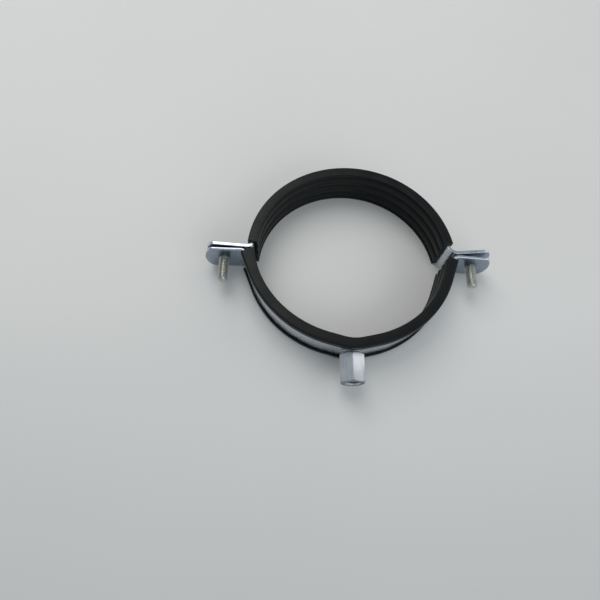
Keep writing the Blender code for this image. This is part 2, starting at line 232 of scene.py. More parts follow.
# A closed object through rings of points: a flat face at each end, or a tube that meets itself
def ringMesh(rings, name, sharpFrom=usualSharpness, tube=False):
    mesh = bmesh.new()
    loops = [[mesh.verts.new(point) for point in points] for points in rings]
    for near, far in zip(loops, loops[1:] + loops[:1] if tube else loops[1:]):
        for index in range(len(near)):
            after = (index + 1) % len(near)
            mesh.faces.new((near[index], near[after], far[after], far[index]))
    if not tube:
        mesh.faces.new(loops[0])
        mesh.faces.new(loops[-1])
    bmesh.ops.recalc_face_normals(mesh, faces=mesh.faces)
    made = objectFrom(mesh, name)
    made.data.transform(Matrix.Translation((layoutX, layoutY, 0)))
    smooth(made.data, sharpFrom)
    return made


def objectFrom(mesh, name):
    data = bpy.data.meshes.new(name)
    mesh.to_mesh(data)
    mesh.free()
    return addObject(name, data)


def addObject(name, data):
    made = bpy.data.objects.new(name, data)
    bpy.context.scene.collection.objects.link(made)
    return made


def smooth(data, sharpFrom):
    data.shade_smooth()
    data.set_sharp_from_angle(angle=math.radians(sharpFrom))


# Carries a section along the stations. A slanted end runs on at the web and stops short at the lips
def sweep(name, stations, sectionOf, shift=0.0):
    ribCrest = -toStripMiddle
    rings = []
    for spot in stations:
        points = []
        for out, height in sectionOf(spot):
            inward = min(1.0, max(0.0, (lipInner - out) / (lipInner - ribCrest)))
            if out < -lipInner:
                out -= spot["splay"]
            at = spot["point"] + spot["outward"] * out + spot["ahead"] * spot["slant"] * inward
            points.append((at.x + shift, at.y, height))
        rings.append(points)
    return ringMesh(rings, name)


# A solid turned about a line along Y; the profile is (y, radius) pairs
def turned(name, profile, x, count, start=0.0):
    angles = anglesRound(count, start)
    return ringMesh([circle(x, y, angles, [radius] * count) for y, radius in profile], name)


def anglesRound(count, start=0.0):
    return [start + fullTurn * index / count for index in range(count)]


# Points round a line along Y, with a radius for each angle
def circle(x, y, angles, radii):
    return [(x + radius * math.cos(angle), y, middle + radius * math.sin(angle))
            for angle, radius in zip(angles, radii)]


# Cuts a tool from the target or joins it on, then throws the tool away
def carve(target, tool, operation):
    modifier = target.modifiers.new(operation, "BOOLEAN")
    modifier.operation = operation
    modifier.solver = "EXACT"
    modifier.object = tool
    settle(target)
    bpy.data.objects.remove(tool, do_unlink=True)


# Replaces an object's mesh by what its modifiers make of it
def settle(target):
    bpy.context.view_layer.update()
    evaluated = target.evaluated_get(bpy.context.evaluated_depsgraph_get())
    data = bpy.data.meshes.new_from_object(evaluated)
    target.modifiers.clear()
    target.data = data


edgeBevel = {"segments": 2, "fromAngle": math.radians(40)}


# A fine bevel on the edges that a tool left sharp
def softenEdges(target, width, sharpFrom=usualSharpness):
    bevel = target.modifiers.new("edge", "BEVEL")
    bevel.width = width
    bevel.segments = edgeBevel["segments"]
    bevel.limit_method = "ANGLE"
    bevel.angle_limit = edgeBevel["fromAngle"]
    settle(target)
    smooth(target.data, sharpFrom)


# Shared effects

effectLook = {
    "lineDetail": 3.0,
    "cloudDetail": 4.0,
    "noiseMiddle": 0.5,
    "cloudSpan": (0.32, 0.68),    # of the noise, spread over the whole drift
    "speckSpan": (0.25, 0.05),    # from a cell's middle, where a speck fades out and is full
    "speckPatches": 180.0,
    "patchSpan": (0.62, 0.5),
    "flatPointiness": 0.5,        # what an even surface reads
    "squareSpan": (0.55, 0.95),   # how square to Y a face has to be
}


def makeGroup(name, inputs, outputs):
    group = bpy.data.node_groups.new(name, "ShaderNodeTree")
    newSocket = group.interface.new_socket
    for label, kind, value in inputs:
        socket = newSocket(name=label, in_out="INPUT", socket_type="NodeSocket" + kind)
        if value is not None:
            socket.default_value = value
    for label, kind in outputs:
        newSocket(name=label, in_out="OUTPUT", socket_type="NodeSocket" + kind)
    return group, group.nodes.new("NodeGroupInput"), group.nodes.new("NodeGroupOutput")


def node(tree, kind, **settings):
    made = tree.nodes.new(kind)
    for key, value in settings.items():
        setattr(made, key, value)
    return made


# Spreads what lies between two values over 0 to 1
def rangeNode(tree, span):
    made = node(tree, "ShaderNodeMapRange")
    made.inputs["From Min"].default_value, made.inputs["From Max"].default_value = span
    return made


# Fine lines left by rolling or drawing, long where Stretch is small
def makeDrawnLines():
    inputs = [("Position", "Vector", None), ("Stretch", "Vector", (40, 40, 4000)),
              ("Contrast", "Float", 0.3)]
    group, given, result = makeGroup("drawnLines", inputs, [("Lines", "Float")])
    stretch = node(group, "ShaderNodeVectorMath", operation="MULTIPLY")
    grain = node(group, "ShaderNodeTexNoise")
    grain.inputs["Scale"].default_value = 1.0
    grain.inputs["Detail"].default_value = effectLook["lineDetail"]
    spread = node(group, "ShaderNodeMapRange")
    low = node(group, "ShaderNodeMath", operation="SUBTRACT")
    high = node(group, "ShaderNodeMath", operation="ADD")
    low.inputs[0].default_value = high.inputs[0].default_value = effectLook["noiseMiddle"]
    link = group.links.new
    link(given.outputs["Position"], stretch.inputs[0])
    link(given.outputs["Stretch"], stretch.inputs[1])
    link(stretch.outputs[0], grain.inputs["Vector"])
    link(given.outputs["Contrast"], low.inputs[1])
    link(given.outputs["Contrast"], high.inputs[1])
    link(grain.outputs["Fac"], spread.inputs["Value"])
    link(low.outputs[0], spread.inputs["From Min"])
    link(high.outputs[0], spread.inputs["From Max"])
    link(spread.outputs["Result"], result.inputs["Lines"])
    return group


# A slow drift between two tints
def makeClouds():
    inputs = [("Position", "Vector", None), ("Size", "Float", 120.0),
              ("First", "Color", (1, 1, 1, 1)), ("Second", "Color", (0, 0, 0, 1))]
    group, given, result = makeGroup("clouds", inputs, [("Color", "Color"), ("Mask", "Float")])
    drift = node(group, "ShaderNodeTexNoise")
    drift.inputs["Detail"].default_value = effectLook["cloudDetail"]
    spread = rangeNode(group, effectLook["cloudSpan"])
    mix = node(group, "ShaderNodeMix", data_type="RGBA")
    link = group.links.new
    link(given.outputs["Position"], drift.inputs["Vector"])
    link(given.outputs["Size"], drift.inputs["Scale"])
    link(drift.outputs["Fac"], spread.inputs["Value"])
    link(spread.outputs["Result"], mix.inputs["Factor"])
    link(given.outputs["First"], mix.inputs["A"])
    link(given.outputs["Second"], mix.inputs["B"])
    link(mix.outputs["Result"], result.inputs["Color"])
    link(spread.outputs["Result"], result.inputs["Mask"])
    return group


# Scattered small spots, such as dust; Share is how much of them shows
def makeSpecks():
    inputs = [("Position", "Vector", None), ("Size", "Float", 1500.0), ("Share", "Float", 0.1)]
    group, given, result = makeGroup("specks", inputs, [("Mask", "Float")])
    cells = node(group, "ShaderNodeTexVoronoi")
    patches = node(group, "ShaderNodeTexNoise")
    patches.inputs["Scale"].default_value = effectLook["speckPatches"]
    small = rangeNode(group, effectLook["speckSpan"])
    where = rangeNode(group, effectLook["patchSpan"])
    both = node(group, "ShaderNodeMath", operation="MULTIPLY")
    share = node(group, "ShaderNodeMath", operation="MULTIPLY")
    link = group.links.new
    link(given.outputs["Position"], cells.inputs["Vector"])
    link(given.outputs["Size"], cells.inputs["Scale"])
    link(given.outputs["Position"], patches.inputs["Vector"])
    link(cells.outputs["Distance"], small.inputs["Value"])
    link(patches.outputs["Fac"], where.inputs["Value"])
    link(small.outputs["Result"], both.inputs[0])
    link(where.outputs["Result"], both.inputs[1])
    link(both.outputs[0], share.inputs[0])
    link(given.outputs["Share"], share.inputs[1])
    link(share.outputs[0], result.inputs["Mask"])
    return group


# Corners, paler where plating rubs thin and, on rubber, as a painted highlight; hollows, darker as
# painted shade
def makeEdgesAndHollows():
    outputs = [("Mask", "Float"), ("HollowShade", "Float")]
    group, given, result = makeGroup("edgesAndHollows", [("Reach", "Float", 0.06)], outputs)
    shape = node(group, "ShaderNodeNewGeometry")
    link = group.links.new
    for operation, output in (("ADD", "Mask"), ("SUBTRACT", "HollowShade")):
        limit = node(group, "ShaderNodeMath", operation=operation)
        limit.inputs[0].default_value = effectLook["flatPointiness"]
        spread = node(group, "ShaderNodeMapRange")
        spread.inputs["From Min"].default_value = effectLook["flatPointiness"]
        link(given.outputs["Reach"], limit.inputs[1])
        link(shape.outputs["Pointiness"], spread.inputs["Value"])
        link(limit.outputs[0], spread.inputs["From Max"])
        link(spread.outputs["Result"], result.inputs[output])
    return group


# Faces square to Y, farther out along X than Out and lower along Y than Below: where painted shade
# goes
def makePaintedShadeFaces():
    inputs = [("Position", "Vector", None), ("Out", "Float", 0.06), ("Below", "Float", 1.0)]
    group, given, result = makeGroup("paintedShadeFaces", inputs, [("Mask", "Float")])
    apart = node(group, "ShaderNodeSeparateXYZ")
    facing = node(group, "ShaderNodeSeparateXYZ")
    shape = node(group, "ShaderNodeNewGeometry")
    away = node(group, "ShaderNodeMath", operation="ABSOLUTE")
    past = node(group, "ShaderNodeMath", operation="GREATER_THAN")
    under = node(group, "ShaderNodeMath", operation="LESS_THAN")
    square = node(group, "ShaderNodeMath", operation="ABSOLUTE")
    sharp = rangeNode(group, effectLook["squareSpan"])
    both = node(group, "ShaderNodeMath", operation="MULTIPLY")
    allThree = node(group, "ShaderNodeMath", operation="MULTIPLY")
    link = group.links.new
    link(given.outputs["Position"], apart.inputs[0])
    link(shape.outputs["Normal"], facing.inputs[0])
    link(apart.outputs["X"], away.inputs[0])
    link(away.outputs[0], past.inputs[0])
    link(given.outputs["Out"], past.inputs[1])
    link(apart.outputs["Y"], under.inputs[0])
    link(given.outputs["Below"], under.inputs[1])
    link(facing.outputs["Y"], square.inputs[0])
    link(square.outputs[0], sharp.inputs["Value"])
    link(past.outputs[0], both.inputs[0])
    link(under.outputs[0], both.inputs[1])
    link(both.outputs[0], allThree.inputs[0])
    link(sharp.outputs["Result"], allThree.inputs[1])
    link(allThree.outputs[0], result.inputs["Mask"])
    return group


effects = {
    "dullingAndShade": makePaintedShadeFaces(),
    "lines": makeDrawnLines(),
    "clouds": makeClouds(),
    "specks": makeSpecks(),
    "edges": makeEdgesAndHollows(),
}


# Puts a shared effect in a material with its own values
def place(tree, effect, **values):
    made = node(tree, "ShaderNodeGroup", node_tree=effects[effect])
    for key, value in values.items():
        made.inputs[key].default_value = value
    return made


# Spreads a 0 to 1 value between two numbers
def mapTo(tree, source, low, high):
    made = node(tree, "ShaderNodeMapRange")
    made.inputs["To Min"].default_value = low
    made.inputs["To Max"].default_value = high
    tree.links.new(source, made.inputs["Value"])
    return made.outputs["Result"]


def combineValues(tree, operation, first, second):
    made = node(tree, "ShaderNodeMath", operation=operation)
    tree.links.new(first, made.inputs[0])
    tree.links.new(second, made.inputs[1])
    return made.outputs[0]


def mixColours(tree, factor, first, second):
    made = node(tree, "ShaderNodeMix", data_type="RGBA")
    tree.links.new(factor, made.inputs["Factor"])
    tree.links.new(first, made.inputs["A"])
    if isinstance(second, tuple):
        made.inputs["B"].default_value = second
    else:
        tree.links.new(second, made.inputs["B"])
    return made.outputs["Result"]


def startMaterial(name):
    material = bpy.data.materials.new(name)
    material.use_nodes = True
    tree = material.node_tree
    shader = tree.nodes["Principled BSDF"]
    position = node(tree, "ShaderNodeTexCoord").outputs["Object"]
    return material, tree, shader, position


def addBump(tree, shader, height, strength, distance):
    bump = node(tree, "ShaderNodeBump")
    bump.inputs["Strength"].default_value = strength
    bump.inputs["Distance"].default_value = distance
    tree.links.new(height, bump.inputs["Height"])
    tree.links.new(bump.outputs["Normal"], shader.inputs["Normal"])


# Zinc plating: a slow drift of tint, the stock's lines under it, dull specks, rubbed corners,
# painted shade in the hollows and painted shade on the masked faces
def zincMaterial(name, look):
    material, tree, shader, position = startMaterial(name)
    link = tree.links.new
    shader.inputs["Metallic"].default_value = 1.0
    clouds = place(tree, "clouds", Size=look["cloudSize"], First=look["tint"],
                   Second=look["otherTint"])
    lines = place(tree, "lines", Stretch=look["stretch"], Contrast=look["contrast"])
    specks = place(tree, "specks", Size=look["speckSize"], Share=look["speckShare"])
    edges = place(tree, "edges", Reach=look["edgeReach"])
    paintedShadeFaces = place(tree, "dullingAndShade", Out=look["paintedShadeOut"], Below=look["paintedShadeBelow"])
    for effect in (clouds, lines, specks, paintedShadeFaces):
        link(position, effect.inputs["Position"])
    edgeWearAndHighlight = mapTo(tree, edges.outputs["Mask"], 0.0, look["edgeWearAndHighlightShare"])
    colour = mixColours(tree, edgeWearAndHighlight, clouds.outputs["Color"], look["edgeWearAndHighlightTint"])
    colour = mixColours(tree, specks.outputs["Mask"], colour, look["speckTint"])
    # painted shade: the ears' faces and the nut's end darkened, standing in for the shaded card
    # they reflect
    paintedShade = mapTo(tree, paintedShadeFaces.outputs["Mask"], 0.0, look["paintedShadeShare"])
    colour = mixColours(tree, paintedShade, colour, look["paintedShadeTint"])
    # painted shade: hollows such as thread roots come out darker
    hollowShade = mapTo(tree, edges.outputs["HollowShade"], 0.0, look["hollowShadeShare"])
    link(mixColours(tree, hollowShade, colour, look["hollowShadeTint"]), shader.inputs["Base Color"])
    low, high = look["roughness"]
    drift = mapTo(tree, clouds.outputs["Mask"], low, high)
    streaks = mapTo(tree, lines.outputs["Lines"], 0.0, look["lineRoughness"])
    dullingAndShade = mapTo(tree, specks.outputs["Mask"], 0.0, look["speckRoughness"])
    rough = combineValues(tree, "ADD", combineValues(tree, "ADD", drift, streaks), dullingAndShade)
    link(rough, shader.inputs["Roughness"])
    addBump(tree, shader, lines.outputs["Lines"], look["bump"], look["bumpDepth"])
    return material


stripLook = {
    "tint": (0.58, 0.63, 0.69, 1), "otherTint": (0.65, 0.69, 0.74, 1), "cloudSize": 140.0,
    "stretch": (60, 60, 3200), "contrast": 0.25, "bump": 0.25, "bumpDepth": 0.00003,
    "roughness": (0.2, 0.3), "lineRoughness": 0.07, "speckRoughness": 0.3,
    "speckSize": 1400.0, "speckShare": 0.35, "speckTint": (0.38, 0.40, 0.42, 1),
    "edgeReach": 0.08, "edgeWearAndHighlightShare": 0.5, "edgeWearAndHighlightTint": (0.82, 0.85, 0.88, 1),
    # painted shade in the hollows
    "hollowShadeShare": 0.3, "hollowShadeTint": (0.20, 0.21, 0.22, 1),
    "paintedShadeOut": 0.06, "paintedShadeBelow": 1.0,    # the ears' faces, darkened as painted shade
    "paintedShadeShare": 1.0, "paintedShadeTint": (0.31, 0.36, 0.44, 1),
}
nutLook = {
    **stripLook, "tint": (0.62, 0.67, 0.71, 1), "otherTint": (0.70, 0.74, 0.77, 1),
    "stretch": (1500, 45, 1500), "contrast": 0.18, "bump": 0.6,
    "roughness": (0.22, 0.3), "lineRoughness": 0.12,
    "paintedShadeOut": 0.0, "paintedShadeBelow": -0.063,  # the nut's end, darkened as painted shade
    "paintedShadeShare": 0.85, "paintedShadeTint": (0.10, 0.11, 0.13, 1),
}
screwLook = {
    **stripLook, "tint": (0.44, 0.45, 0.41, 1), "otherTint": (0.52, 0.52, 0.48, 1),
    "cloudSize": 300.0, "stretch": (700, 700, 700), "bump": 0.1, "roughness": (0.22, 0.32),
    "edgeReach": 0.12, "edgeWearAndHighlightTint": (0.66, 0.67, 0.62, 1), "paintedShadeShare": 0.0,
    # painted shade, dark, in the thread's roots and the recess
    "hollowShadeShare": 0.85, "hollowShadeTint": (0.05, 0.05, 0.045, 1),
}
weldLook = {
    **stripLook, "tint": (0.42, 0.45, 0.49, 1), "otherTint": (0.56, 0.58, 0.61, 1),
    "cloudSize": 900.0, "stretch": (900, 900, 900), "bump": 0.6, "bumpDepth": 0.00008,
    "roughness": (0.35, 0.6), "paintedShadeShare": 0.0,
}


# Extruded black rubber: faint lines, a bloom in patches, corners and rib shoulders paler as a
# painted highlight, and a little dust
def rubberMaterial(name, look):
    material, tree, shader, position = startMaterial(name)
    link = tree.links.new
    shader.inputs["IOR"].default_value = look["ior"]
    shader.inputs["Specular IOR Level"].default_value = look["specular"]
    clouds = place(tree, "clouds", Size=look["cloudSize"], First=look["tint"],
                   Second=look["bloomTint"])
    lines = place(tree, "lines", Stretch=look["stretch"], Contrast=look["contrast"])
    specks = place(tree, "specks", Size=look["dustSize"], Share=look["dustShare"])
    edges = place(tree, "edges", Reach=look["edgeReach"])
    for effect in (clouds, lines, specks):
        link(position, effect.inputs["Position"])
    # painted highlight: convex corners and rib shoulders paler
    edgeWearAndHighlight = mapTo(tree, edges.outputs["Mask"], 0.0, look["edgeWearAndHighlightShare"])
    colour = mixColours(tree, edgeWearAndHighlight, clouds.outputs["Color"], look["edgeWearAndHighlightTint"])
    colour = mixColours(tree, specks.outputs["Mask"], colour, look["dustTint"])
    link(colour, shader.inputs["Base Color"])
    low, high = look["roughness"]
    drift = mapTo(tree, clouds.outputs["Mask"], low, high)
    streaks = mapTo(tree, lines.outputs["Lines"], 0.0, look["lineRoughness"])
    link(combineValues(tree, "ADD", drift, streaks), shader.inputs["Roughness"])
    addBump(tree, shader, lines.outputs["Lines"], look["bump"], look["bumpDepth"])
    return material


rubberLook = {
    "tint": (0.0022, 0.0034, 0.0036, 1), "bloomTint": (0.0045, 0.0065, 0.0068, 1),
    "cloudSize": 90.0, "stretch": (90, 90, 2600), "contrast": 0.3,
    "bump": 0.25, "bumpDepth": 0.00004, "ior": 1.5, "specular": 0.19,
    "dustSize": 1100.0, "dustShare": 0.18, "dustTint": (0.10, 0.10, 0.09, 1),
    # paler corners and rib shoulders: a painted highlight
    "edgeReach": 0.1, "edgeWearAndHighlightShare": 0.5, "edgeWearAndHighlightTint": (0.016, 0.019, 0.020, 1),
    "roughness": (0.30, 0.42), "lineRoughness": 0.08,
}

zincStrip = zincMaterial("zincStrip", stripLook)
zincNut = zincMaterial("zincNut", nutLook)
zincScrew = zincMaterial("zincScrew", screwLook)
weldMetal = zincMaterial("weldMetal", weldLook)
blackRubber = rubberMaterial("blackRubber", rubberLook)
print("materials made")


# Gives a piece its finish and its body, and hides the CAD node that it stands for
def fit(piece, body, cadNode, material):
    piece.data.materials.clear()
    piece.data.materials.append(material)
    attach(piece, body)
    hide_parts(cadNode)
    return piece


# Steel bands

band = {
    "ear": {"endDepth": 0.005, "endSteps": 24, "straightSteps": 8},
    "upperCorner": 0.00035,
    "lowerCorner": 0.00096,
    "cornerSteps": 4,
    "cornerShare": 0.6,    # of the half width, at most, where an ear narrows
    "upperHole": 0.0033,   # clears the screw
    "lowerHole": 0.0031,   # tapped
    "holeSides": 64,
    "holeReach": 0.006,    # of the punch, either side of the ear
    "edge": 0.00012,       # bevel at the holes
}


def stripSection(spot, corner):
    wide = spot["half"]
    corner = min(corner, wide * band["cornerShare"])
    corners = [(halfThick, wide), (halfThick, -wide), (-halfThick, -wide), (-halfThick, wide)]
    return roundedOutline([(out, middle + up, corner) for out, up in corners], band["cornerSteps"])


def upperSection(spot):
    return stripSection(spot, band["upperCorner"])


def lowerSection(spot):
    return stripSection(spot, band["lowerCorner"])


def makeBand(name, sideOf, sectionOf, hole, shift, body, cadNode):
    piece = sweep(name, bothSides(sideOf, band["ear"]), sectionOf, shift)
    for side in sides.values():
        y = earHeight(sideOf, side, band["ear"], shift)
        profile = [(y - band["holeReach"], hole), (y + band["holeReach"], hole)]
        punch = turned("punch", profile, side["sign"] * screwX, band["holeSides"])
        carve(piece, punch, "DIFFERENCE")
    softenEdges(piece, band["edge"])
    return fit(piece, body, cadNode, zincStrip)


makeBand("upperStrip", upperSide, upperSection, band["upperHole"], ring["upperShift"],
         "upper_half", "upper_band")
makeBand("lowerStrip", lowerSide, lowerSection, band["lowerHole"], 0.0, "lower_half", "lower_band")
print("steel bands made")


# Rubber linings

lining = {
    "ribs": 3,
    "rimGroove": 0.0015,       # from the rim to the first groove's middle
    "grooveWidth": 0.0020,
    "grooveDepth": 0.0010,
    "grooveCorner": 0.2,       # rounding, as a share of the groove's width
    "crown": 0.00045,          # how much lower a rib's sides are than its middle
    "crownSteps": 10,
    "rimRound": 0.0009,
    "boreRound": 0.000375,     # at the rim, on the pipe's side
    "channelRound": 0.0001,    # where the strip sits
    "lipRounds": (0.1, 0.45),  # inside and outside a lip's edge, as shares of its thickness
    "cornerSteps": 4,
    "topReach": 0.0042,        # of a lip, from the rim
    "bottomReach": 0.0028,
    "bottomThickness": 0.0009,
    "setback": 0.0003,         # of the ends, from the ears' bends
    "wave": 0.00008,           # how far the lips' edges wander
    "waveLength": 0.013,
    "topWaveFrom": 7,          # so that the two lips wander apart
}


# The ribbed inner face from the bottom rim to the top, each rib a shallow crown
def ribLine():
    crest = -toStripMiddle
    pitch = (ring["rubberWidth"] - 2 * lining["rimGroove"]) / lining["ribs"]
    width, depth, crown = lining["grooveWidth"], lining["grooveDepth"], lining["crown"]
    rounding = width * lining["grooveCorner"]
    corners = []
    for groove in range(lining["ribs"] + 1):
        height = lining["rimGroove"] + groove * pitch
        ribBelow, ribAbove = groove > 0, groove < lining["ribs"]
        corners.append((crest + (crown if ribBelow else 0), height - width / 2, rounding))
        corners.append((crest + depth, height - rounding, rounding))
        corners.append((crest + depth, height + rounding, rounding))
        corners.append((crest + (crown if ribAbove else 0), height + width / 2, rounding))
        if ribAbove:
            for count in range(1, lining["crownSteps"]):
                part = count / lining["crownSteps"]
                across = height + width / 2 + (pitch - width) * part
                corners.append((crest + crown * (2 * part - 1) ** 2, across, 0))
    return corners


def liningSection(spot):
    height = ring["rubberWidth"]
    foot = (height - ring["stripWidth"]) / 2 - ring["rubberGap"]
    along = Vector((spot["point"].x, spot["point"].y, 0)) / lining["waveLength"]
    topAlong = along + Vector((0, 0, lining["topWaveFrom"]))
    low = lining["bottomReach"] + lining["wave"] * noise.noise(along)
    high = lining["topReach"] + lining["wave"] * noise.noise(topAlong)
    innerRound, outerRound = lining["lipRounds"]
    seat = lining["channelRound"]

    def rim(reach, thick):
        outer = lipInner + thick
        return [
            (lipInner, foot, seat),
            (lipInner, reach, thick * innerRound),
            (outer, reach, thick * outerRound),
            (outer, 0, min(lining["rimRound"], thick)),
            (-toStripMiddle, 0, lining["boreRound"]),
        ]

    bottom = rim(low, lining["bottomThickness"])
    top = [(out, height - up, bend) for out, up, bend in reversed(rim(high, ring["lipThickness"]))]
    channel = [(-lipInner, height - foot, seat), (-lipInner, foot, seat)]
    return roundedOutline(bottom + ribLine() + top + channel, lining["cornerSteps"])


def makeLining(name, sideOf, shift, body, cadNode):
    piece = sweep(name, bothSides(sideOf, setback=lining["setback"]), liningSection, shift)
    return fit(piece, body, cadNode, blackRubber)


makeLining("upperRubber", upperSide, ring["upperShift"], "upper_half", "upper_lining")
makeLining("lowerRubber", lowerSide, 0.0, "lower_half", "lower_lining")
print("rubber linings made")


# Ear screws

threadForm = {"crestShare": 0.14, "flankShare": 0.66}  # of half the pitch

screw = {
    "crest": 0.00295,
    "depth": 0.00058,
    "pitch": 0.001,
    "length": 0.020,
    "sides": 48,
    "rowsPerTurn": 10,
    "tipChamfer": 0.0008,
    "runOut": 0.0012,        # under the head, without thread
    "shankStart": 0.0006,    # below the head's seat
    "shankEnd": 0.0001,
    "headRadius": 0.005,
    "headHeight": 0.0028,
    "headFlank": 0.0007,
    "headFoot": 0.00025,
    "domeStep": 6,           # degrees
    "sharpFrom": 30,
}
recess = {
    "span": 0.0050,
    "width": 0.0012,
    "depth": 0.0015,
    "clear": 0.0006,         # above the head, for a clean cut
    "footSpan": 0.45,        # shares left at the foot
    "footWidth": 0.8,
}


# A 60 degree right-hand thread with flattened crests and roots
def threadRadius(shape, angle, along):
    phase = (along / shape["pitch"] + angle / fullTurn) % 1.0
    fromCrest = abs(phase - 0.5) * 2 - threadForm["crestShare"]
    flank = min(1.0, max(0.0, fromCrest / threadForm["flankShare"]))
    return shape["crest"] - shape["depth"] * flank


# Rings up a thread from its start, cut down to the chamfer at the start where one is given
def threadRings(shape, x, start, rows, chamfer=None):
    angles = anglesRound(shape["sides"])
    rings = []
    for row in range(rows + 1):
        along = row * shape["pitch"] / shape["rowsPerTurn"]
        radii = [threadRadius(shape, angle, along) for angle in angles]
        if chamfer is not None:
            limit = shape["crest"] - chamfer + along
            radii = [min(limit, radius) for radius in radii]
        rings.append(circle(x, start + along, angles, radii))
    return rings


def makeScrew(name, side, cadNode, body):
    low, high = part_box(cadNode)
    x = side["sign"] * screwX
    tip, seat = low.y - layoutY, high.y - layoutY - screw["headHeight"]
    rows = round((screw["length"] - screw["runOut"]) / screw["pitch"] * screw["rowsPerTurn"])
    rings = threadRings(screw, x, tip, rows, screw["tipChamfer"])
    shank = screw["crest"] - screw["depth"] / 2
    edge, foot, flank = screw["headRadius"], screw["headFoot"], screw["headFlank"]
    profile = [
        (seat - screw["shankStart"], shank), (seat - screw["shankEnd"], shank),
        (seat, shank + foot), (seat, edge - foot), (seat + foot, edge),
    ]
    for degrees in range(0, 90, screw["domeStep"]):
        angle = math.radians(degrees)
        height = flank + (screw["headHeight"] - flank) * math.sin(angle)
        profile.append((seat + height, edge * math.cos(angle)))
    angles = anglesRound(screw["sides"])
    rings += [circle(x, y, angles, [radius] * screw["sides"]) for y, radius in profile]
    piece = ringMesh(rings, name, screw["sharpFrom"])
    for turn in (0, rightAngle):
        carve(piece, recessTool(x, seat + screw["headHeight"], turn), "DIFFERENCE")
    smooth(piece.data, screw["sharpFrom"])
    return fit(piece, body, cadNode, zincScrew)


# One arm pair of the cross recess, narrower at its foot
def recessTool(x, top, turn):
    mesh = bmesh.new()
    bmesh.ops.create_cube(mesh, size=1.0)
    for vertex in mesh.verts:
        deep = vertex.co.y < 0
        vertex.co.x *= recess["span"] * (recess["footSpan"] if deep else 1.0)
        vertex.co.z *= recess["width"] * (recess["footWidth"] if deep else 1.0)
        vertex.co.y = -recess["depth"] if deep else recess["clear"]
    spot = Matrix.Translation((x + layoutX, top + layoutY, middle)) @ Matrix.Rotation(turn, 4, "Y")
    bmesh.ops.transform(mesh, matrix=spot, verts=mesh.verts)
    return objectFrom(mesh, "recess")


makeScrew("leftScrew", sides["left"], "left_screw", "left_ear_screw")
makeScrew("rightScrew", sides["right"], "right_screw", "right_ear_screw")
print("ear screws made")


# Hanger nut and its weld

nut = {
    "acrossFlats": 0.013,
    "turn": math.radians(6),
    "faceRadius": 0.0063,
    "chamfer": 0.0008,
    "clear": 1.001,          # how far the trim stays off the corners, as a factor
    "footRadius": 0.005,
    "lipGap": 0.0004,        # between the hexagon and the rubber's lips
    "countersink": 0.0009,
    "sides": 96,
    "thread": {"crest": 0.004, "depth": 0.00066, "pitch": 0.00125, "rowsPerTurn": 10, "sides": 48},
    "tapBefore": 0.001,      # how far the tap runs past the end and the foot
    "tapAfter": 0.002,
    "edge": 0.00015,
    "sharpFrom": 28,
}
hexagonSides = 6
nutLow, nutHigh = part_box("hanger_nut")
nutX = (nutLow.x + nutHigh.x) / 2 - layoutX
nutEnd, nutFoot = nutLow.y - layoutY, nutHigh.y - layoutY
hexagonStart = lowerBottom - lipOuter - nut["lipGap"]


# The solid that a tap cuts
def tapTool(x, start, end, thread):
    rows = math.ceil((end - start) / thread["pitch"] * thread["rowsPerTurn"])
    return ringMesh(threadRings(thread, x, start, rows), "tapTool")


def makeNut():
    corner = nut["acrossFlats"] / math.sqrt(3)
    profile = [(nutEnd, corner), (hexagonStart, corner)]
    piece = turned("hangerNut", profile, nutX, hexagonSides, rightAngle / 3 + nut["turn"])
    faceRadius, chamfer, clear = nut["faceRadius"], nut["chamfer"], corner * nut["clear"]
    trim = [(nutEnd, faceRadius), (nutEnd + chamfer, clear),
            (hexagonStart - chamfer, clear), (hexagonStart, faceRadius)]
    carve(piece, turned("trim", trim, nutX, nut["sides"]), "INTERSECT")
    foot = [(hexagonStart - chamfer, nut["footRadius"]), (nutFoot, nut["footRadius"])]
    carve(piece, turned("foot", foot, nutX, nut["sides"]), "UNION")
    sink = nut["countersink"]
    bore = nut["thread"]["crest"] - nut["thread"]["depth"]
    mouth = [(nutEnd - sink, bore + 2 * sink), (nutEnd + sink, bore)]
    carve(piece, turned("countersink", mouth, nutX, nut["sides"]), "DIFFERENCE")
    tap = tapTool(nutX, nutEnd - nut["tapBefore"], nutFoot + nut["tapAfter"], nut["thread"])
    carve(piece, tap, "DIFFERENCE")
    softenEdges(piece, nut["edge"], nut["sharpFrom"])
    return fit(piece, "lower_half", "hanger_nut", zincNut)


weld = {
    "radius": 0.0051,
    "inner": 0.0034,
    "lump": 0.0005,
    "lumpSize": 0.0016,
    "sides": 96,
    "gap": 0.0001,           # to the strip
    # Share of the height, and how far in from the radius as a share of the thickness
    "outside": [(0.0, 0.35), (0.12, 0.1), (0.3, 0.0), (0.75, 0.0), (1.0, 0.1)],
    "sharpFrom": 50,
}


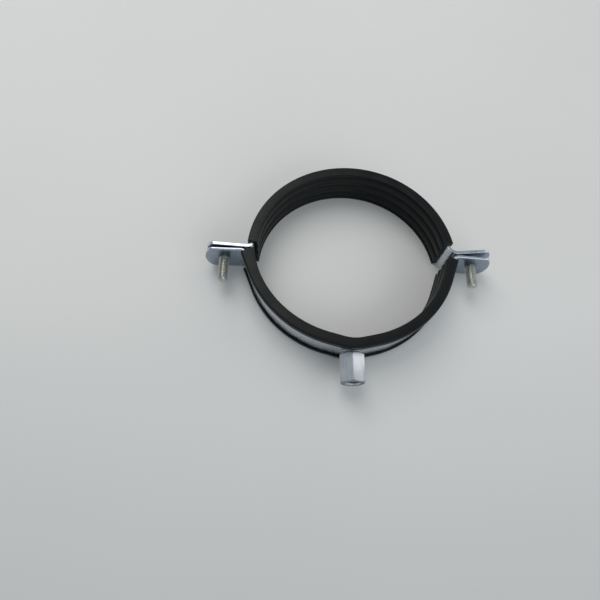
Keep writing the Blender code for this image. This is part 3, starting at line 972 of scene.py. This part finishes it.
# The upset ring between the nut's foot and the strip, lumpy where it squeezed out
def makeWeld():
    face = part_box("nut_weld")[0].y - layoutY
    thick = lowerBottom - halfThick - face
    angles = anglesRound(weld["sides"])
    inner = weld["inner"]
    outside = [(share, weld["radius"] - thick * inset) for share, inset in weld["outside"]]
    rings = []
    for share, radius in [(0.0, inner)] + outside:
        points = []
        for angle in angles:
            rise = stripFace(nutX + radius * math.cos(angle)) - weld["gap"] - face
            around = Vector((math.cos(angle), math.sin(angle), share)) * radius
            lump = abs(weld["lump"] * noise.noise(around / weld["lumpSize"]))
            reach = radius - (lump if radius > inner else 0)
            across, up = reach * math.cos(angle), reach * math.sin(angle)
            points.append((nutX + across, face + rise * share, middle + up))
        rings.append(points)
    bore = []
    for angle in angles:
        x = nutX + inner * math.cos(angle)
        bore.append((x, stripFace(x) - weld["gap"], middle + inner * math.sin(angle)))
    piece = ringMesh(rings + [bore], "weldBead", weld["sharpFrom"], tube=True)
    return fit(piece, "lower_half", "nut_weld", weldMetal)


# The Y of the lower strip's outside at x, near the nut
def stripFace(x):
    turn = sides["right" if x > 0 else "left"]["kinkTurn"]
    outer = ring["kinkRadius"] + toStripMiddle + halfThick
    reach = min(abs(x), outer * math.sin(turn))
    y = lowerBottom - halfThick + outer - math.sqrt(outer ** 2 - reach ** 2)
    return y + (abs(x) - reach) * math.tan(turn)


makeNut()
makeWeld()
print("hanger nut and weld made")


# Floor, light and camera

stageLook = {
    "floorSize": 8.0,
    "floorDrop": 0.00005,
    "floorTint": (0.76, 0.76, 0.74, 1),
    "floorOther": (0.80, 0.80, 0.78, 1),
    "floorClouds": 3.0,
    "floorRoughness": 0.75,
    "floorSpecular": 0.2,
    "shadeSpan": (-0.01, -0.20),  # painted shade: the card greys toward its near edge
    "shadeShare": 0.45,
    "shadeTint": (0.44, 0.45, 0.45, 1),
    "worldColour": (0.90, 0.98, 1.05, 1),
    "worldStrength": 0.32,
}
lights = {
    "ceilingPanel": {
        "energy": 5.6, "size": (0.7, 1.0), "distance": 1.15, "toward": (-0.26, 0.50, 0.83),
        "colour": (1.0, 0.975, 0.95),
    },
    "rightWindow": {
        "energy": 7.0, "size": (2.0, 1.4), "distance": 2.0, "toward": (0.83, 0.25, 0.45),
        "colour": (1.0, 0.98, 0.97),
    },
    "frontWindow": {
        "energy": 10.5, "size": (2.4, 1.2), "distance": 2.0, "toward": (0.45, -0.70, 0.52),
        "colour": (0.93, 0.98, 1.0),
    },
}


def floorMaterial():
    material, tree, shader, position = startMaterial("paleCard")
    clouds = place(tree, "clouds", Size=stageLook["floorClouds"], First=stageLook["floorTint"],
                   Second=stageLook["floorOther"])
    tree.links.new(position, clouds.inputs["Position"])
    apart = node(tree, "ShaderNodeSeparateXYZ")
    toward = rangeNode(tree, stageLook["shadeSpan"])
    tree.links.new(position, apart.inputs[0])
    tree.links.new(apart.outputs["Y"], toward.inputs["Value"])
    shade = mapTo(tree, toward.outputs["Result"], 0.0, stageLook["shadeShare"])
    colour = mixColours(tree, shade, clouds.outputs["Color"], stageLook["shadeTint"])
    tree.links.new(colour, shader.inputs["Base Color"])
    shader.inputs["Roughness"].default_value = stageLook["floorRoughness"]
    shader.inputs["Specular IOR Level"].default_value = stageLook["floorSpecular"]
    return material


def makeFloor():
    half = stageLook["floorSize"] / 2
    data = bpy.data.meshes.new("floor")
    corners = [(-half, -half, 0), (half, -half, 0), (half, half, 0), (-half, half, 0)]
    data.from_pydata(corners, [], [(0, 1, 2, 3)])
    floor = addObject("floor", data)
    floor.location.z = -stageLook["floorDrop"]
    data.materials.append(floorMaterial())


def addLight(name, look):
    data = bpy.data.lights.new(name, "AREA")
    data.shape = "RECTANGLE"
    data.size, data.size_y = look["size"]
    data.energy = look["energy"]
    data.color = look["colour"]
    lamp = addObject(name, data)
    toward = Vector(look["toward"]).normalized()
    lamp.location = toward * look["distance"]
    lamp.rotation_euler = toward.to_track_quat("Z", "Y").to_euler()


def makeLights():
    world = bpy.data.worlds.new("softRoom")
    bpy.context.scene.world = world
    world.use_nodes = True
    background = world.node_tree.nodes["Background"]
    background.inputs["Color"].default_value = stageLook["worldColour"]
    background.inputs["Strength"].default_value = stageLook["worldStrength"]
    for name, look in lights.items():
        addLight(name, look)


cameraLook = {
    "place": (-0.0412, -0.11856, 0.2477),
    "pitch": math.radians(23.1),     # up from straight down
    "yaw": math.radians(7.1),
    "roll": math.radians(8.14),
    "lens": 27.17,
    "nearest": 0.005,
}


def makeCamera():
    pitch, yaw, roll = cameraLook["pitch"], cameraLook["yaw"], cameraLook["roll"]
    ahead = Vector((math.sin(yaw), math.cos(yaw), 0)) * math.sin(pitch)
    forward = ahead - Vector((0, 0, math.cos(pitch)))
    level = Vector((math.cos(yaw), -math.sin(yaw), 0))
    upright = level.cross(forward)
    right = math.cos(roll) * level + math.sin(roll) * upright
    up = -math.sin(roll) * level + math.cos(roll) * upright
    data = bpy.data.cameras.new("camera")
    data.lens = cameraLook["lens"]
    data.clip_start = cameraLook["nearest"]
    camera = addObject("camera", data)
    turn = Matrix((right, up, -forward)).transposed().to_4x4()
    camera.matrix_world = Matrix.Translation(cameraLook["place"]) @ turn
    bpy.context.scene.camera = camera


makeFloor()
makeLights()
makeCamera()
bpy.context.scene.view_settings.view_transform = "Standard"
print("floor, lights and camera made")
